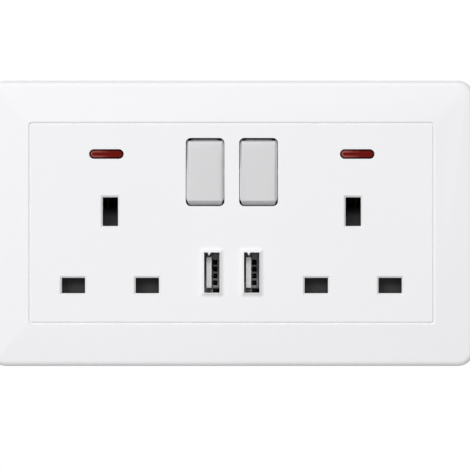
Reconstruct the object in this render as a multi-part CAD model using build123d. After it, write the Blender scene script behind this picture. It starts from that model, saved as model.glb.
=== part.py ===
from build123d import *
import os
from math import cos, radians, sin

# Double switched wall socket with two USB charging ports, in millimetres.
# X runs right, Y runs into the wall and Z runs up. The wall plane is Y = 0.

# Plate, scaled from the 22.2 mm between the two lower pin holes
plate_width = 146.0
plate_height = 86.0
plate_corner = 4.9
face_y = -9.5
border_drop = 0.9
edge_round = 1.8
cover_wall = 2.0
roof = 2.0
border_roof = 2.9

# Decorative groove round the middle of the plate
groove_width = 121.3
groove_height = 60.0
groove_corner = 0.8
groove_depth = 0.5

# Three-pin outlets
socket_x = 36.5
earth_z = 3.5
pin_rise = 22.2
pin_pitch = 22.2
pin_z = earth_z - pin_rise
flat_hole_width = 7.05
flat_hole_height = 4.65
earth_hole_width = 4.65
earth_hole_height = 8.65
hole_bevel = 0.55
hole_relief = 0.3

# Rocker switches
rocker_x = 8.03
rocker_z = 15.4
rocker_slot_width = 11.6
rocker_slot_height = 20.5
rocker_slot_corner = 1.5
rocker_width = 10.4
rocker_reach = 4.9
rocker_top_radius = 9.9
rocker_foot_radius = 10.35
rocker_brow = 14.0
rocker_brow_start = 6.2
rocker_bevel_width = 1.2
rocker_bevel_depth = 0.15
rocker_tail = 1.6
rocker_corner = 1.2
rocker_wall = 1.2
rocker_front_wall = 1.4
rocker_pivot_y = -5.0
rocker_tilt = 6.5
trunnion_radius = 1.2
trunnion_reach = 6.9
post_radius = 3.0
post_end = 4.2
plunger_radius = 2.0
plunger_start = 1.5
plunger_reach = 10.4
plunger_nose = 1.7

# See-saw switch arms behind the rockers
arm_pivot_y = 6.25
arm_tilt = 12.0
arm_width = 5.0
arm_half_length = 7.0
arm_thickness = 0.8
tip_radius = 1.4
tip_offset = 5.5
tip_height = 0.7
tip_gap = 0.08

# Indicator windows
neon_x = 37.65
neon_z = 20.8
neon_width = 10.4
neon_height = 2.9
neon_flange = 1.0
lens_recess = 0.15
lens_chamfer = 0.35
bulb_y = -2.8
bulb_radius = 2.0
bulb_length = 10.0

# USB ports
usb_x = 5.98
usb_z = -14.8
mouth_width = 4.65
mouth_height = 12.15
collar_land = 0.15
collar_height = 0.9
collar_cove = 0.85
shell_width = 5.7
shell_height = 13.1
shell_wall = 0.3
shell_front = -6.9
tongue_width = 1.5
tongue_height = 9.2
tongue_offset = -0.91
tongue_front = -6.0
contact_pitch = 2.1

# Inner frame behind the cover: its flange fits the cover, its box takes the sockets
frame_front = -7.3
frame_back = -5.3
frame_wall = 3.0
lens_seat = frame_front + 1.2
flange_gap = 1.0
flange_width = plate_width - 2 * (cover_wall + flange_gap)
flange_height = plate_height - 2 * (cover_wall + flange_gap)
flange_thickness = 2.5
fixing_pitch = flange_width - 2 * 9.7
fixing_radius = 2.0
tray_half_width = 15.9
pillar_size = 3.0
peg_size = 1.5
hook_x = 20.0

# Rear housing, let into the rear of the frame: tall enough for the neutral bar
# under the flat-pin clips
clip_reach = 3.2
neutral_width = 3.6
neutral_low = pin_z - clip_reach - 1.0 - neutral_width
neutral_z = neutral_low + neutral_width / 2
housing_wall = 2.0
housing_rebate = 1.0
frame_width = 2 * (socket_x + tray_half_width + 0.6 + frame_wall)
housing_width = frame_width - 2 * housing_rebate
housing_height = 2 * (housing_wall + 1.5 - neutral_low)
frame_height = housing_height + 2 * housing_rebate
housing_rim = -1.0
wire_window_radius = 3.6
driver_window = 5.2
housing_back = 24.0
screw_x = 40.0
screw_z = housing_height / 2 + 3.0
lug_size = 8.0
lug_z = screw_z - 0.7
lug_back = 1.5
post_size = 3.0

# Shutters
shutter_front = -5.1
shutter_back = -3.1
shutter_travel = 5.5
spring_seat = -12.2
flap_half_width = 15.6
flap_bottom = -21.6
flap_top = -15.6
stem_half_width = 4.0
ramp_half_width = 3.6
ramp_foot = -1.0
ramp_top = 4.92
tray_front = -2.8
tray_back = -1.0
tray_bottom = 0.5 + frame_wall - frame_height / 2
tray_top = 9.5
pillar_x = 11.0
pillar_heights = (-12.5, 7.2)

# Contact metal
metal = 0.8
leaf = 0.6
bar_y = 9.0
earth_bar_y = 14.0
live_bar_y = 9.3
wire_hole_radius = 2.1
terminal_width = 7.5
terminal_height = 7.0
terminal_z = housing_height / 2 - housing_wall - 1.2 - terminal_height / 2
earth_bar_low = 6.0
earth_bar_high = 11.0
earth_window_top = 8.2
lead_y = 5.0
lead_wire = 0.5

# Circuit board of the USB supply
board_front = 6.0
board_back = 7.6
board_half_width = 19.0
board_bottom = -21.5
board_top = 2.0

# Transformer of the USB supply
core_x = -9.0
core_z = -2.0
core_width = 12.0
core_height = 7.0
core_limb = 2.5
core_yoke = 1.5
core_front = board_back + 0.8
core_back = core_front + 10.0

# Clearances
slide_gap = 0.2
fit_gap = 0.1
bearing_gap = 0.1


# Shapes used all through the part

def at(depth):
    """Sketch plane parallel to the wall, seen from the front."""
    return Plane(origin=(0, depth, 0), x_dir=(1, 0, 0), z_dir=(0, -1, 0))


def prism(outline, front, back, x=0, z=0):
    """Outline drawn as seen from the front, made solid between two depths."""
    return extrude(at(back) * Pos(x, z) * outline, amount=back - front, dir=(0, -1, 0))


def rectangle(width, height, radius=0):
    """Rectangle outline, with rounded corners when a radius is given."""
    return RectangleRounded(width, height, radius) if radius else Rectangle(width, height)


def block(width, height, front, back, x=0, z=0, radius=0):
    """Upright block between two depths."""
    return prism(rectangle(width, height, radius), front, back, x, z)


def stadium(width, height, front, back, x=0, z=0):
    """Block with half-round ends between two depths."""
    return prism(SlotOverall(width, height), front, back, x, z)


def box(x0, x1, y0, y1, z0, z1):
    """Plain box between three pairs of limits."""
    return Pos((x0 + x1) / 2, (y0 + y1) / 2, (z0 + z1) / 2) * Box(x1 - x0, y1 - y0, z1 - z0)


def rod_x(radius, x0, x1, y, z):
    """Round bar running sideways."""
    return Pos((x0 + x1) / 2, y, z) * Rot(0, 90, 0) * Cylinder(radius, x1 - x0)


def rod_y(radius, y0, y1, x, z):
    """Round bar running front to back."""
    return Pos(x, (y0 + y1) / 2, z) * Rot(90, 0, 0) * Cylinder(radius, y1 - y0)


def rod_z(radius, z0, z1, x, y):
    """Round bar running upwards."""
    return Pos(x, y, (z0 + z1) / 2) * Cylinder(radius, z1 - z0)


def side_profile(points, x0, x1):
    """Outline of depth and height pairs, made solid between two sideways limits."""
    return extrude(Plane.YZ.offset(x0) * Polygon(*points, align=None), amount=x1 - x0, dir=(1, 0, 0))


def plan_profile(points, z0, z1):
    """Outline of sideways and depth pairs, made solid between two heights."""
    return extrude(Plane.XY.offset(z0) * Polygon(*points, align=None), amount=z1 - z0, dir=(0, 0, 1))


def frustum(width, height, radius, front, grow, back, x=0, z=0):
    """Block whose outline grows by a margin from its back to its front."""
    near = at(front) * Pos(x, z) * RectangleRounded(width + 2 * grow, height + 2 * grow, radius + grow)
    far = at(back) * Pos(x, z) * RectangleRounded(width, height, radius)
    return loft([near, far], ruled=True)


def tapered(width, height, front, back, reach_x, reach_z, x=0, z=0):
    """Flat-sided block that widens by a reach on each side from its front to its back."""
    wedge = Wedge(width, back - front, height, -reach_x, -reach_z, width + reach_x, height + reach_z)
    return Pos(x, (front + back) / 2, z) * wedge


def coil(radius, wire, length, turns, corners=10):
    """Compression spring standing on the origin along Z, bent in short straight pieces."""
    middle = radius - wire / 2
    rise = (length - 2 * wire) / (turns * corners)
    points = []
    for i in range(turns * corners + 1):
        angle = radians(360 * i / corners)
        points.append((middle * cos(angle), middle * sin(angle), wire + rise * i))
    path = Polyline(*points)
    section = Plane(origin=path @ 0, z_dir=path % 0) * Rectangle(wire, wire)
    return sweep(section, path=path, transition=Transition.RIGHT)


sides = (-1, 1)
hole_places = [(s * socket_x + t * pin_pitch / 2, pin_z) for s in sides for t in sides]


# Front cover: a one-piece moulding that clips over the frame

def pin_hole(width, height, x, z):
    """Pin hole through the front of the cover with its bevelled rim."""
    through = block(width, height, face_y - 1, face_y + roof + 1, x, z)
    reach = hole_bevel + 0.1
    rim = tapered(width + 2 * reach, height + 2 * reach, face_y - 0.1, face_y + hole_bevel, -reach, -reach,
                  x, z)
    return through + rim


def groove_cutter():
    """V-shaped ring that cuts the decorative groove."""
    reach = groove_depth + 0.1
    outer = frustum(groove_width, groove_height, groove_corner, face_y - 0.1, reach, face_y + groove_depth)
    near = at(face_y - 0.1) * RectangleRounded(groove_width - 2 * reach, groove_height - 2 * reach, 0.2)
    far = at(face_y + groove_depth) * RectangleRounded(groove_width, groove_height, groove_corner)
    return outer - loft([near, far], ruled=True)


def collar(x):
    """Raised collar round a USB mouth, coved into the face in three flat steps."""
    width = mouth_width + 2 * collar_land
    height = mouth_height + 2 * collar_land
    body = block(width, height, face_y - collar_height, face_y + 1, x, usb_z)
    steps = 3
    for i in range(steps):
        foot = radians(90 * i / steps)
        brow = radians(90 * (i + 1) / steps)
        reach = collar_cove * (1 - sin(brow))
        spread = collar_cove * (sin(brow) - sin(foot))
        body += tapered(width + 2 * reach, height + 2 * reach, face_y - collar_cove * (1 - cos(brow)),
                        face_y - collar_cove * (1 - cos(foot)), spread, spread, x, usb_z)
    return body


def front_cover():
    rim_y = face_y + border_drop
    body = block(plate_width, plate_height, rim_y, 0, radius=plate_corner)
    body = fillet([e for e in body.edges() if abs(e.center().Y - rim_y) < 0.01], edge_round)
    # Border that falls away from the groove to the rounded edge
    top_width = groove_width + 2 * groove_depth
    top_height = groove_height + 2 * groove_depth
    slope_width = plate_width - 2 * edge_round
    slope_height = plate_height - 2 * edge_round
    slope = tapered(top_width, top_height, face_y, rim_y, (slope_width - top_width) / 2,
                    (slope_height - top_height) / 2)
    body += slope & block(slope_width, slope_height, face_y, rim_y, radius=plate_corner - edge_round)
    inner_width = plate_width - 2 * cover_wall
    inner_height = plate_height - 2 * cover_wall
    inner_corner = plate_corner - cover_wall
    body -= block(inner_width, inner_height, face_y + border_roof, 1, radius=inner_corner)
    body -= block(frame_width + 6, frame_height + 2, face_y + roof, -1)
    for s in sides:
        body += collar(s * usb_x)
        body -= block(mouth_width, mouth_height, face_y - 2, 0, s * usb_x, usb_z)
    body -= groove_cutter()
    for x, z in hole_places:
        body -= pin_hole(flat_hole_width, flat_hole_height, x, z)
    for s in sides:
        body -= pin_hole(earth_hole_width, earth_hole_height, s * socket_x, earth_z)
        body -= block(rocker_slot_width, rocker_slot_height, face_y - 1, 0, s * rocker_x, rocker_z,
                      rocker_slot_corner)
        body -= stadium(neon_width, neon_height, face_y - 1, 0, s * neon_x, neon_z)
    # Snap hooks that catch the rear edge of the frame's flange
    hook_tip = 0.9
    for s in sides:
        for x in (-hook_x, hook_x):
            root = s * (inner_height / 2 + 0.5)
            tip = s * (flange_height / 2 - hook_tip)
            body += box(x - 4, x + 4, -1.15, -0.25, min(root, tip), max(root, tip))
        root = s * (inner_width / 2 + 0.5)
        tip = s * (flange_width / 2 - hook_tip)
        body += box(min(root, tip), max(root, tip), -1.15, -0.25, -4, 4)
    # Notch in the lower edge for prising the cover off
    body -= box(-5, 5, -1.2, 1, -plate_height / 2 - 1, -inner_height / 2 + 0.1)
    return body


# Frame: carries the rockers, shutters, lenses and the USB board

def flange_screw_places():
    return [(s * screw_x, t * screw_z) for s in sides for t in sides]


def board_post_places():
    return [(s * (board_half_width - 2.7), z) for s in sides for z in (board_bottom + 2.5, board_top - 2.5)]


def pillar(x, z, front, back):
    """Pillar on the frame that carries a plate on its shoulder and holds it by a peg."""
    body = block(pillar_size, pillar_size, frame_back - 0.5, front, x, z)
    return body + block(peg_size, peg_size, front - 0.5, back + 0.4, x, z)


def peg_hole(x, z, front, back):
    size = peg_size + 2 * fit_gap
    return block(size, size, front - 1, back + 1, x, z)


def frame():
    body = block(flange_width, flange_height, -flange_thickness, 0, radius=4)
    body += block(frame_width, frame_height, frame_front, 0)
    for x, z in flange_screw_places():
        body += block(5.6, 5.6, -6.3, -1, x, z)
    for s in sides:
        body += rod_y(4.5, -3.4, -1, s * fixing_pitch / 2, 0)
        body -= rod_y(fixing_radius, -5, 1, s * fixing_pitch / 2, 0)
    cavity_width = frame_width - 2 * frame_wall
    cavity_height = frame_height - 2 * frame_wall
    body -= block(cavity_width, cavity_height, frame_back, 1)
    body -= block(housing_width + 2 * slide_gap, housing_height + 2 * slide_gap, housing_rim, 1, radius=2)
    for s in sides:
        for t in sides:
            lug_recess = lug_size + 2 * slide_gap
            body -= block(lug_recess, lug_recess, housing_rim, 1, s * screw_x, t * lug_z)
            body -= rod_y(1.5, -5.6, 1, s * screw_x, t * screw_z)
    # Steps on the rear edge for the cover's hooks
    for s in sides:
        for x in (-hook_x, hook_x):
            edge = s * flange_height / 2
            step = s * (flange_height / 2 - 1.4)
            body -= box(x - 5, x + 5, -1.15, 1, min(edge, step) - 0.01, max(edge, step) + 0.01)
        edge = s * flange_width / 2
        step = s * (flange_width / 2 - 1.4)
        body -= box(min(edge, step) - 0.01, max(edge, step) + 0.01, -1.15, 1, -5, 5)
    # Openings behind those of the cover
    for x, z in hole_places:
        body -= block(flat_hole_width + hole_relief, flat_hole_height + hole_relief, frame_front - 1, -1,
                      x, z)
    for s in sides:
        x = s * socket_x
        body -= block(earth_hole_width + hole_relief, earth_hole_height + hole_relief, frame_front - 1, -1,
                      x, earth_z)
        margin = 2 * (neon_flange + slide_gap)
        body -= block(neon_width + margin, neon_height + margin, frame_front - 1, lens_seat,
                      s * neon_x, neon_z)
        body -= stadium(neon_width, neon_height, frame_front - 1, -1, s * neon_x, neon_z)
        body -= block(shell_width + 2 * fit_gap, shell_height + 2 * fit_gap, frame_front - 1, -1,
                      s * usb_x, usb_z)
        body -= block(12, 21.4, frame_front - 1, -1, s * rocker_x, rocker_z)
        # Spring peg and guide ribs of the shutter
        body += box(x - 1.5, x + 1.5, frame_back - 0.5, -3.0, spring_seat - 1.2, spring_seat)
        for t in sides:
            rib = x + t * (stem_half_width + slide_gap + 0.6)
            body += box(rib - 0.6, rib + 0.6, frame_back - 0.5, -3.0, -13.8, -2.2)
            # Pillars that carry the contact tray
            for z in pillar_heights:
                body += pillar(x + t * pillar_x, z, tray_front, tray_back)
    # Cheeks with slots for the rocker trunnions, open to the rear
    for x in (-rocker_x - 7.1, 0, rocker_x + 7.1):
        half = 2.03 if x == 0 else 1.1
        body += box(x - half, x + half, frame_back - 0.5, -2.6, rocker_z - 4, rocker_z + 4)
    for s in sides:
        slot = trunnion_radius + bearing_gap
        left = s * rocker_x - trunnion_reach - fit_gap
        right = s * rocker_x + trunnion_reach + fit_gap
        body -= rod_x(slot, left, right, rocker_pivot_y, rocker_z)
        body -= box(left, right, rocker_pivot_y, -1, rocker_z - slot, rocker_z + slot)
    for x, z in board_post_places():
        body += pillar(x, z, board_front, board_back)
    return body


# Rear housing: the insulating box that goes into the wall

def terminal_places():
    """Sideways place, height and the way the clamping screw faces, for each terminal."""
    return {"live": (0, terminal_z, 1), "neutral": (-socket_x, -terminal_z, -1),
            "earth_left": (-20, terminal_z, 1), "earth_right": (20, terminal_z, 1)}


def terminal_depths(name):
    """Front and rear of the terminal block."""
    if name == "live":
        return live_bar_y + metal, 20.1
    if name == "neutral":
        return bar_y + metal, 19.8
    return earth_bar_y + metal, 21.5


def rear_housing():
    body = block(housing_width, housing_height, housing_rim, housing_back, radius=2)
    inner_width = housing_width - 2 * housing_wall
    inner_height = housing_height - 2 * housing_wall
    floor = housing_back - housing_wall
    body -= block(inner_width, inner_height, housing_rim - 1, floor)
    for s in sides:
        for t in sides:
            lug = block(lug_size, lug_size, housing_rim, lug_back, s * screw_x, t * lug_z)
            body += lug - block(inner_width, inner_height, -5, 5)
            body -= rod_y(1.6, -2, 3, s * screw_x, t * screw_z)
    # Posts that press the busbars forward
    posts = [(x, 13.2, live_bar_y) for x in (-10, 10)]
    posts += [(x, neutral_z, bar_y) for x in (-10, 10, 30)]
    for s in sides:
        posts.append((s * 32, neon_z, bar_y))
        posts.append((s * socket_x + pin_pitch / 2, -5, bar_y))
    posts += [(x, (earth_bar_low + earth_bar_high) / 2, earth_bar_y) for x in (-30, 0, 30)]
    for x, z, front in posts:
        body += block(post_size, post_size, front + metal, floor + 0.5, x, z)
    # Windows for the wires and for a screwdriver
    for name, (x, z, way) in terminal_places().items():
        front, back = terminal_depths(name)
        body -= rod_y(wire_window_radius, floor - 0.1, housing_back + 1, x, z)
        low, high = sorted((way * (housing_height / 2 + 1), way * (inner_height / 2 - 0.1)))
        middle = (front + back) / 2 + 0.5
        half = driver_window / 2
        body -= box(x - half, x + half, middle - half, middle + half, low, high)
    # Cooling slots behind the USB supply
    for i in range(5):
        body -= block(1.2, 12, floor - 1, housing_back + 1, -8 + 4 * i, -10)
    return body


def assembly_screws():
    """Four short pan-head screws that hold the housing to the frame."""
    body = Part()
    for x, z in flange_screw_places():
        shank = rod_y(1.45, -5.3, lug_back, x, z)
        head = rod_y(2.7, lug_back, 2.9, x, z) - box(x - 3, x + 3, 2.3, 3, z - 0.35, z + 0.35)
        body += shank + head
    return body


# Rockers, modelled about their pivots and then tilted to the off position

def rocker_pose(x):
    return Pos(x, rocker_pivot_y, rocker_z) * Rot(-rocker_tilt, 0, 0)


def rocker_shape(inset, front):
    """Outside of the rocker cap, or its hollow when given an inset."""
    half = rocker_width / 2 - inset
    tail = rocker_tail + (1 if inset else 0)
    foot = box(-half, half, -front, tail, -12, 0) & rod_x(rocker_foot_radius - inset, -9, 9, 0, 0)
    top = box(-half, half, -front, tail, 0, 12) & rod_x(rocker_top_radius - inset, -9, 9, 0, 0)
    brow = rod_x(rocker_brow, -9, 9, rocker_brow - front, rocker_brow_start)
    flat = box(-9, 9, -front, tail, -12, rocker_brow_start)
    return foot + (top & (flat + brow))


def rocker(x):
    edge = rocker_width / 2
    bevel = edge - rocker_bevel_width
    side_y = rocker_bevel_depth - rocker_reach
    section = plan_profile([(-edge, 9), (-edge, side_y), (-bevel, -rocker_reach), (bevel, -rocker_reach),
                            (edge, side_y), (edge, 9)], -12, 12)
    height = rocker_foot_radius + rocker_top_radius
    corners = block(rocker_width, height, -9, 9, 0, rocker_top_radius - height / 2, rocker_corner)
    cap = rocker_shape(0, rocker_reach) & section & corners
    cap -= rocker_shape(rocker_wall, rocker_reach - rocker_front_wall)
    post = rod_y(post_radius, -rocker_reach + 1, post_end, 0, 0)
    cap += post
    for s in sides:
        ends = sorted((s * (edge - 1), s * trunnion_reach))
        cap += rod_x(trunnion_radius, *ends, 0, 0)
    cap -= rod_y(plunger_radius + 0.05, rocker_front_wall - rocker_reach, post_end + 1, 0, 0)
    return rocker_pose(x) * cap


def plunger(x):
    shoulder = plunger_reach - plunger_nose
    body = rod_y(plunger_radius, plunger_start, shoulder, 0, 0)
    nose = Cone(plunger_radius, plunger_radius - plunger_nose, plunger_nose)
    return rocker_pose(x) * (body + Pos(0, shoulder + plunger_nose / 2, 0) * Rot(-90, 0, 0) * nose)


def plunger_spring(x):
    start = rocker_front_wall - rocker_reach
    length = plunger_start - start
    return rocker_pose(x) * Pos(0, start, 0) * Rot(-90, 0, 0) * coil(plunger_radius - 0.2, 0.45, length, 4)


# See-saw arms with silver tips

def arm_pose(x):
    return Pos(x, arm_pivot_y, rocker_z) * Rot(arm_tilt, 0, 0)


def switch_arm(x):
    body = box(-arm_width / 2, arm_width / 2, -arm_thickness, 0, -arm_half_length, arm_half_length)
    for s in sides:
        edge = s * (arm_width / 2 - 0.25)
        body += box(edge - 0.25, edge + 0.25, -1.8, -arm_thickness, -3.4, 3.4)
    return arm_pose(x) * body


def moving_tip(x):
    return arm_pose(x) * rod_y(tip_radius, 0, tip_height, 0, tip_offset)


def fixed_tip_front():
    """Depth of the fixed tip's face, just clear of the moving tip when on."""
    tilt = radians(arm_tilt)
    outer = tip_height * cos(tilt) + (tip_offset + tip_radius) * sin(tilt)
    return arm_pivot_y + outer + tip_gap


def fixed_tip(x):
    height = tip_offset * cos(radians(arm_tilt)) - tip_height * sin(radians(arm_tilt))
    return rod_y(tip_radius, fixed_tip_front(), bar_y, x, rocker_z + height)


# Busbars and contact clips

def leaf_pair(half_mouth, half_throat, half_root, start, throat, web):
    """Half-outline of a spring clip, as depth and distance from its middle plane."""
    inner = [(start, half_mouth), (throat, half_throat), (web - 1.5, half_root), (web, half_root)]
    outer = [(web + metal, half_root + leaf), (web - 1.5, half_root + leaf),
             (throat, half_throat + leaf), (start, half_mouth + leaf)]
    return inner + outer


def flat_clip(x, z):
    """Clip for a flat pin: leaves above and below, joined by a web at the rear."""
    points = leaf_pair(2.9, 1.75, 2.6, 0.6, 3.2, bar_y)
    body = box(x - 3, x + 3, bar_y, bar_y + metal, z - clip_reach, z + clip_reach)
    for s in sides:
        body += side_profile([(y, z + s * d) for y, d in points], x - 3, x + 3)
    return body


def earth_clip(x):
    """Clip for the earth pin: leaves left and right of it."""
    points = leaf_pair(3.0, 1.75, 2.6, 1.0, 4.2, earth_bar_y)
    low, high = earth_z - 3.5, earth_z + 3.5
    body = box(x - 3.2, x + 3.2, earth_bar_y, earth_bar_y + metal, low, earth_bar_high)
    body -= box(x - 1.9, x + 1.9, earth_bar_y - 1, earth_bar_y + 2, low + 1, earth_window_top)
    for s in sides:
        body += plan_profile([(x + s * d, y) for y, d in points], low, high)
    return body


def switched_strip(side):
    """Switched live: from the fixed tip out to its socket's live clip."""
    back = bar_y + metal
    clip_x = side * socket_x + pin_pitch / 2
    outer = side * (neon_x + bulb_length / 2 + 1.85)
    if side > 0:
        outer = clip_x + 1.75
    inner = side * (rocker_x - 2.5)
    body = box(min(inner, outer), max(inner, outer), bar_y, back, neon_z - 1.6, neon_z + 1.6)
    body += box(clip_x - 1.75, clip_x + 1.75, bar_y, back, pin_z + 2, neon_z)
    return body + flat_clip(clip_x, pin_z)


def live_busbar():
    back = live_bar_y + metal
    body = box(-13, 13, live_bar_y, back, 10.8, 16.4)
    body += box(-2.5, 2.5, live_bar_y, back, 16, terminal_z + terminal_height / 2)
    for s in sides:
        # Knife edge with a rounded top, on which the arm rocks
        radius = 0.3
        left = s * rocker_x - arm_width / 2
        right = s * rocker_x + arm_width / 2
        tip = arm_pivot_y + 0.05 + radius
        body += box(left, right, tip, live_bar_y + 0.1, rocker_z - radius, rocker_z + radius)
        body += rod_x(radius, left, right, tip, rocker_z)
    # Tab that feeds the USB supply
    foot = board_top - 1.8
    body += box(5.2, 6.8, live_bar_y, back, foot, 11)
    return body + box(5.2, 6.8, board_back, live_bar_y + 0.1, foot, foot + metal)


def neutral_busbar():
    back = bar_y + metal
    left = -socket_x - pin_pitch / 2
    right = socket_x - pin_pitch / 2
    body = box(left + 0.7, right + 8, bar_y, back, neutral_low, neutral_low + neutral_width)
    for x in (left, right):
        body += flat_clip(x, pin_z)
        body += box(x + 0.7, x + 3, bar_y, back, neutral_z, pin_z)
    # Tab that feeds the USB supply
    foot = board_bottom + 1.5
    body += box(-10.8, -9.2, bar_y, back, neutral_low, foot)
    return body + box(-10.8, -9.2, board_back, bar_y + 0.1, foot - metal, foot)


def earth_busbar():
    back = earth_bar_y + metal
    body = box(3 - socket_x, socket_x - 3, earth_bar_y, back, earth_bar_low, earth_bar_high)
    for s in sides:
        body += earth_clip(s * socket_x)
        body += box(s * 20 - 2.5, s * 20 + 2.5, earth_bar_y, back, earth_bar_high - 0.5,
                    terminal_z + terminal_height / 2)
    return body


def terminal(name):
    """Brass block with a wire hole from the rear and a clamping screw hole."""
    x, z, way = terminal_places()[name]
    front, back = terminal_depths(name)
    body = block(terminal_width, terminal_height, front, back, x, z)
    body -= rod_y(wire_hole_radius, front + 1.8, back + 1, x, z)
    middle = (front + back) / 2 + 0.5
    far = z + way * 4.5
    return body - rod_z(1.6, min(z, far), max(z, far), x, middle)


def terminal_screw(name):
    x, z, way = terminal_places()[name]
    front, back = terminal_depths(name)
    middle = (front + back) / 2 + 0.5
    tip = z + way * (wire_hole_radius + 0.1)
    seat = z + way * terminal_height / 2
    end = seat + way * 0.9
    body = rod_z(1.5, min(tip, end), max(tip, end), x, middle)
    head = rod_z(2.3, min(seat, end), max(seat, end), x, middle)
    low, high = sorted((end - way * 0.5, end + way * 0.1))
    return body + head - box(x - 3, x + 3, middle - 0.35, middle + 0.35, low, high)


def contact_tray(side):
    """Insulating plate between a shutter and the clips, with partition ribs."""
    x = side * socket_x
    body = box(x - tray_half_width, x + tray_half_width, tray_front, tray_back, tray_bottom, tray_top)
    for s in sides:
        body -= block(flat_hole_width + 0.6, flat_hole_height + 0.6, tray_front - 1, tray_back + 1,
                      x + s * pin_pitch / 2, pin_z)
        body += box(x + s * 6.5 - 0.5, x + s * 6.5 + 0.5, tray_back - 0.5, 8, tray_bottom + 3.5, -13.5)
        for z in pillar_heights:
            body -= peg_hole(x + s * pillar_x, z, tray_front, tray_back)
    # Window for the ramp all through its travel
    low = ramp_foot - 1 - shutter_travel - slide_gap
    high = earth_z + earth_hole_height / 2 + 0.4
    return body - box(x - 3.9, x + 3.9, tray_front - 1, tray_back + 1, low, high)


# Shutters and their return springs

def shutter(side):
    x = side * socket_x
    body = box(x - flap_half_width, x + flap_half_width, shutter_front, shutter_back, flap_bottom, flap_top)
    body += box(x - stem_half_width, x + stem_half_width, shutter_front, shutter_back, flap_top - 0.5,
                ramp_foot)
    outline = [(shutter_front, ramp_foot - 1), (shutter_front, ramp_foot), (0, ramp_top), (0, ramp_foot),
               (shutter_back, ramp_foot - 1)]
    body += side_profile(outline, x - ramp_half_width, x + ramp_half_width)
    # Well for the return spring
    return body - box(x - 1.9, x + 1.9, shutter_front - 1, shutter_back + 1, spring_seat - 1.3, -2.5)


def shutter_spring(side):
    middle = (shutter_front + shutter_back) / 2
    return Pos(side * socket_x, middle, spring_seat) * coil(1.0, 0.35, 9.7, 6)


# Indicators

def neon_lens(side):
    x = side * neon_x
    body = stadium(neon_width - 2 * fit_gap, neon_height - 2 * fit_gap, face_y + lens_recess, frame_front,
                   x, neon_z)
    rim = [e for e in body.edges() if abs(e.center().Y - face_y - lens_recess) < 0.01]
    flange = block(neon_width + 2 * neon_flange, neon_height + 2 * neon_flange, face_y + roof, lens_seat,
                   x, neon_z)
    return chamfer(rim, lens_chamfer) + flange


def neon_bulb(side):
    x = side * neon_x
    half = bulb_length / 2
    body = rod_x(bulb_radius, x - half, x + half, bulb_y, neon_z)
    body -= rod_x(bulb_radius - 0.4, x - half + 1, x + half - 1, bulb_y, neon_z)
    return body - wire_run([(x - half - 1, bulb_y, neon_z), (x + half + 1, bulb_y, neon_z)])


def wire_run(points):
    """Stiff square wire through corner points, each leg along one direction."""
    half = lead_wire / 2
    body = Part()
    for start, end in zip(points, points[1:]):
        limits = []
        for p, q in zip(start, end):
            limits += [min(p, q) - half, max(p, q) + half]
        body += box(*limits)
    return body


def resistor_limits():
    return 9.0, 15.0


def neon_leads(side):
    """Leads of the bulb: outer one to the switched live, inner one to the neutral."""
    inner = side * (neon_x - bulb_length / 2)
    outer = side * (neon_x + bulb_length / 2)
    low, high = resistor_limits()
    drop = inner - side * 0.75
    rise = outer + side * 0.75
    half = lead_wire / 2
    end = bar_y - half
    live = wire_run([(outer - side * 4, bulb_y, neon_z), (rise, bulb_y, neon_z), (rise, end, neon_z)])
    upper = wire_run([(inner + side * 4, bulb_y, neon_z), (drop, bulb_y, neon_z), (drop, lead_y, neon_z),
                      (drop, lead_y, high + half)])
    lower = wire_run([(drop, lead_y, low - half), (drop, lead_y, neutral_z), (drop, end, neutral_z)])
    return live + upper + lower


def neon_resistor(side):
    low, high = resistor_limits()
    x = side * (neon_x - bulb_length / 2 - 0.75)
    return rod_z(1.0, low, high, x, lead_y)


# USB ports and their supply

def contact_heights():
    return [usb_z + contact_pitch * (i - 1.5) for i in range(4)]


def usb_contacts(side):
    """Four contact strips along the right of the tongue, ending in solder pins."""
    x = side * usb_x + tongue_offset + tongue_width / 2
    body = Part()
    for z in contact_heights():
        body += box(x, x + 0.3, tongue_front + 0.4, board_back + 1, z - 0.5, z + 0.5)
    return body


def usb_shell(side):
    x = side * usb_x
    body = block(shell_width, shell_height, shell_front, board_front, x, usb_z)
    body -= block(shell_width - 2 * shell_wall, shell_height - 2 * shell_wall, shell_front - 1,
                  board_front + 1, x, usb_z)
    for s in sides:
        edge = usb_z + s * (shell_height - shell_wall) / 2
        body += box(x - 0.8, x + 0.8, board_front - 0.5, board_back + 1, edge - 0.15, edge + 0.15)
    return body


def usb_tongue(side):
    x = side * usb_x
    body = block(shell_width - 2 * shell_wall, shell_height - 2 * shell_wall, 2.5, board_front, x, usb_z)
    body += block(tongue_width, tongue_height, tongue_front, 3, x + tongue_offset, usb_z)
    return body - usb_contacts(side)


def usb_board():
    middle = (board_bottom + board_top) / 2
    body = block(2 * board_half_width, board_top - board_bottom, board_front, board_back, 0, middle)
    for x, z in board_post_places():
        body -= peg_hole(x, z, board_front, board_back)
    for s in sides:
        x = s * usb_x
        for t in sides:
            edge = usb_z + t * (shell_height - shell_wall) / 2
            body -= box(x - 0.9, x + 0.9, 5, 9, edge - 0.25, edge + 0.25)
        foot = x + tongue_offset + tongue_width / 2
        for z in contact_heights():
            body -= box(foot - 0.1, foot + 0.4, 5, 9, z - 0.6, z + 0.6)
    return body


def transformer_core():
    width = core_width - 2 * core_limb
    height = core_height - 2 * core_yoke
    body = block(core_width, core_height, core_front, core_back, core_x, core_z)
    return body - block(width, height, core_front - 1, core_back + 1, core_x, core_z)


def transformer_winding():
    width = core_width - 2 * (core_limb + fit_gap)
    height = core_height - 2 * (core_yoke + fit_gap)
    return block(width, height, board_back, core_back + 1.2, core_x, core_z)


def capacitor(x, radius, z0, z1):
    return rod_z(radius, z0, z1, x, board_back + radius)


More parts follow.
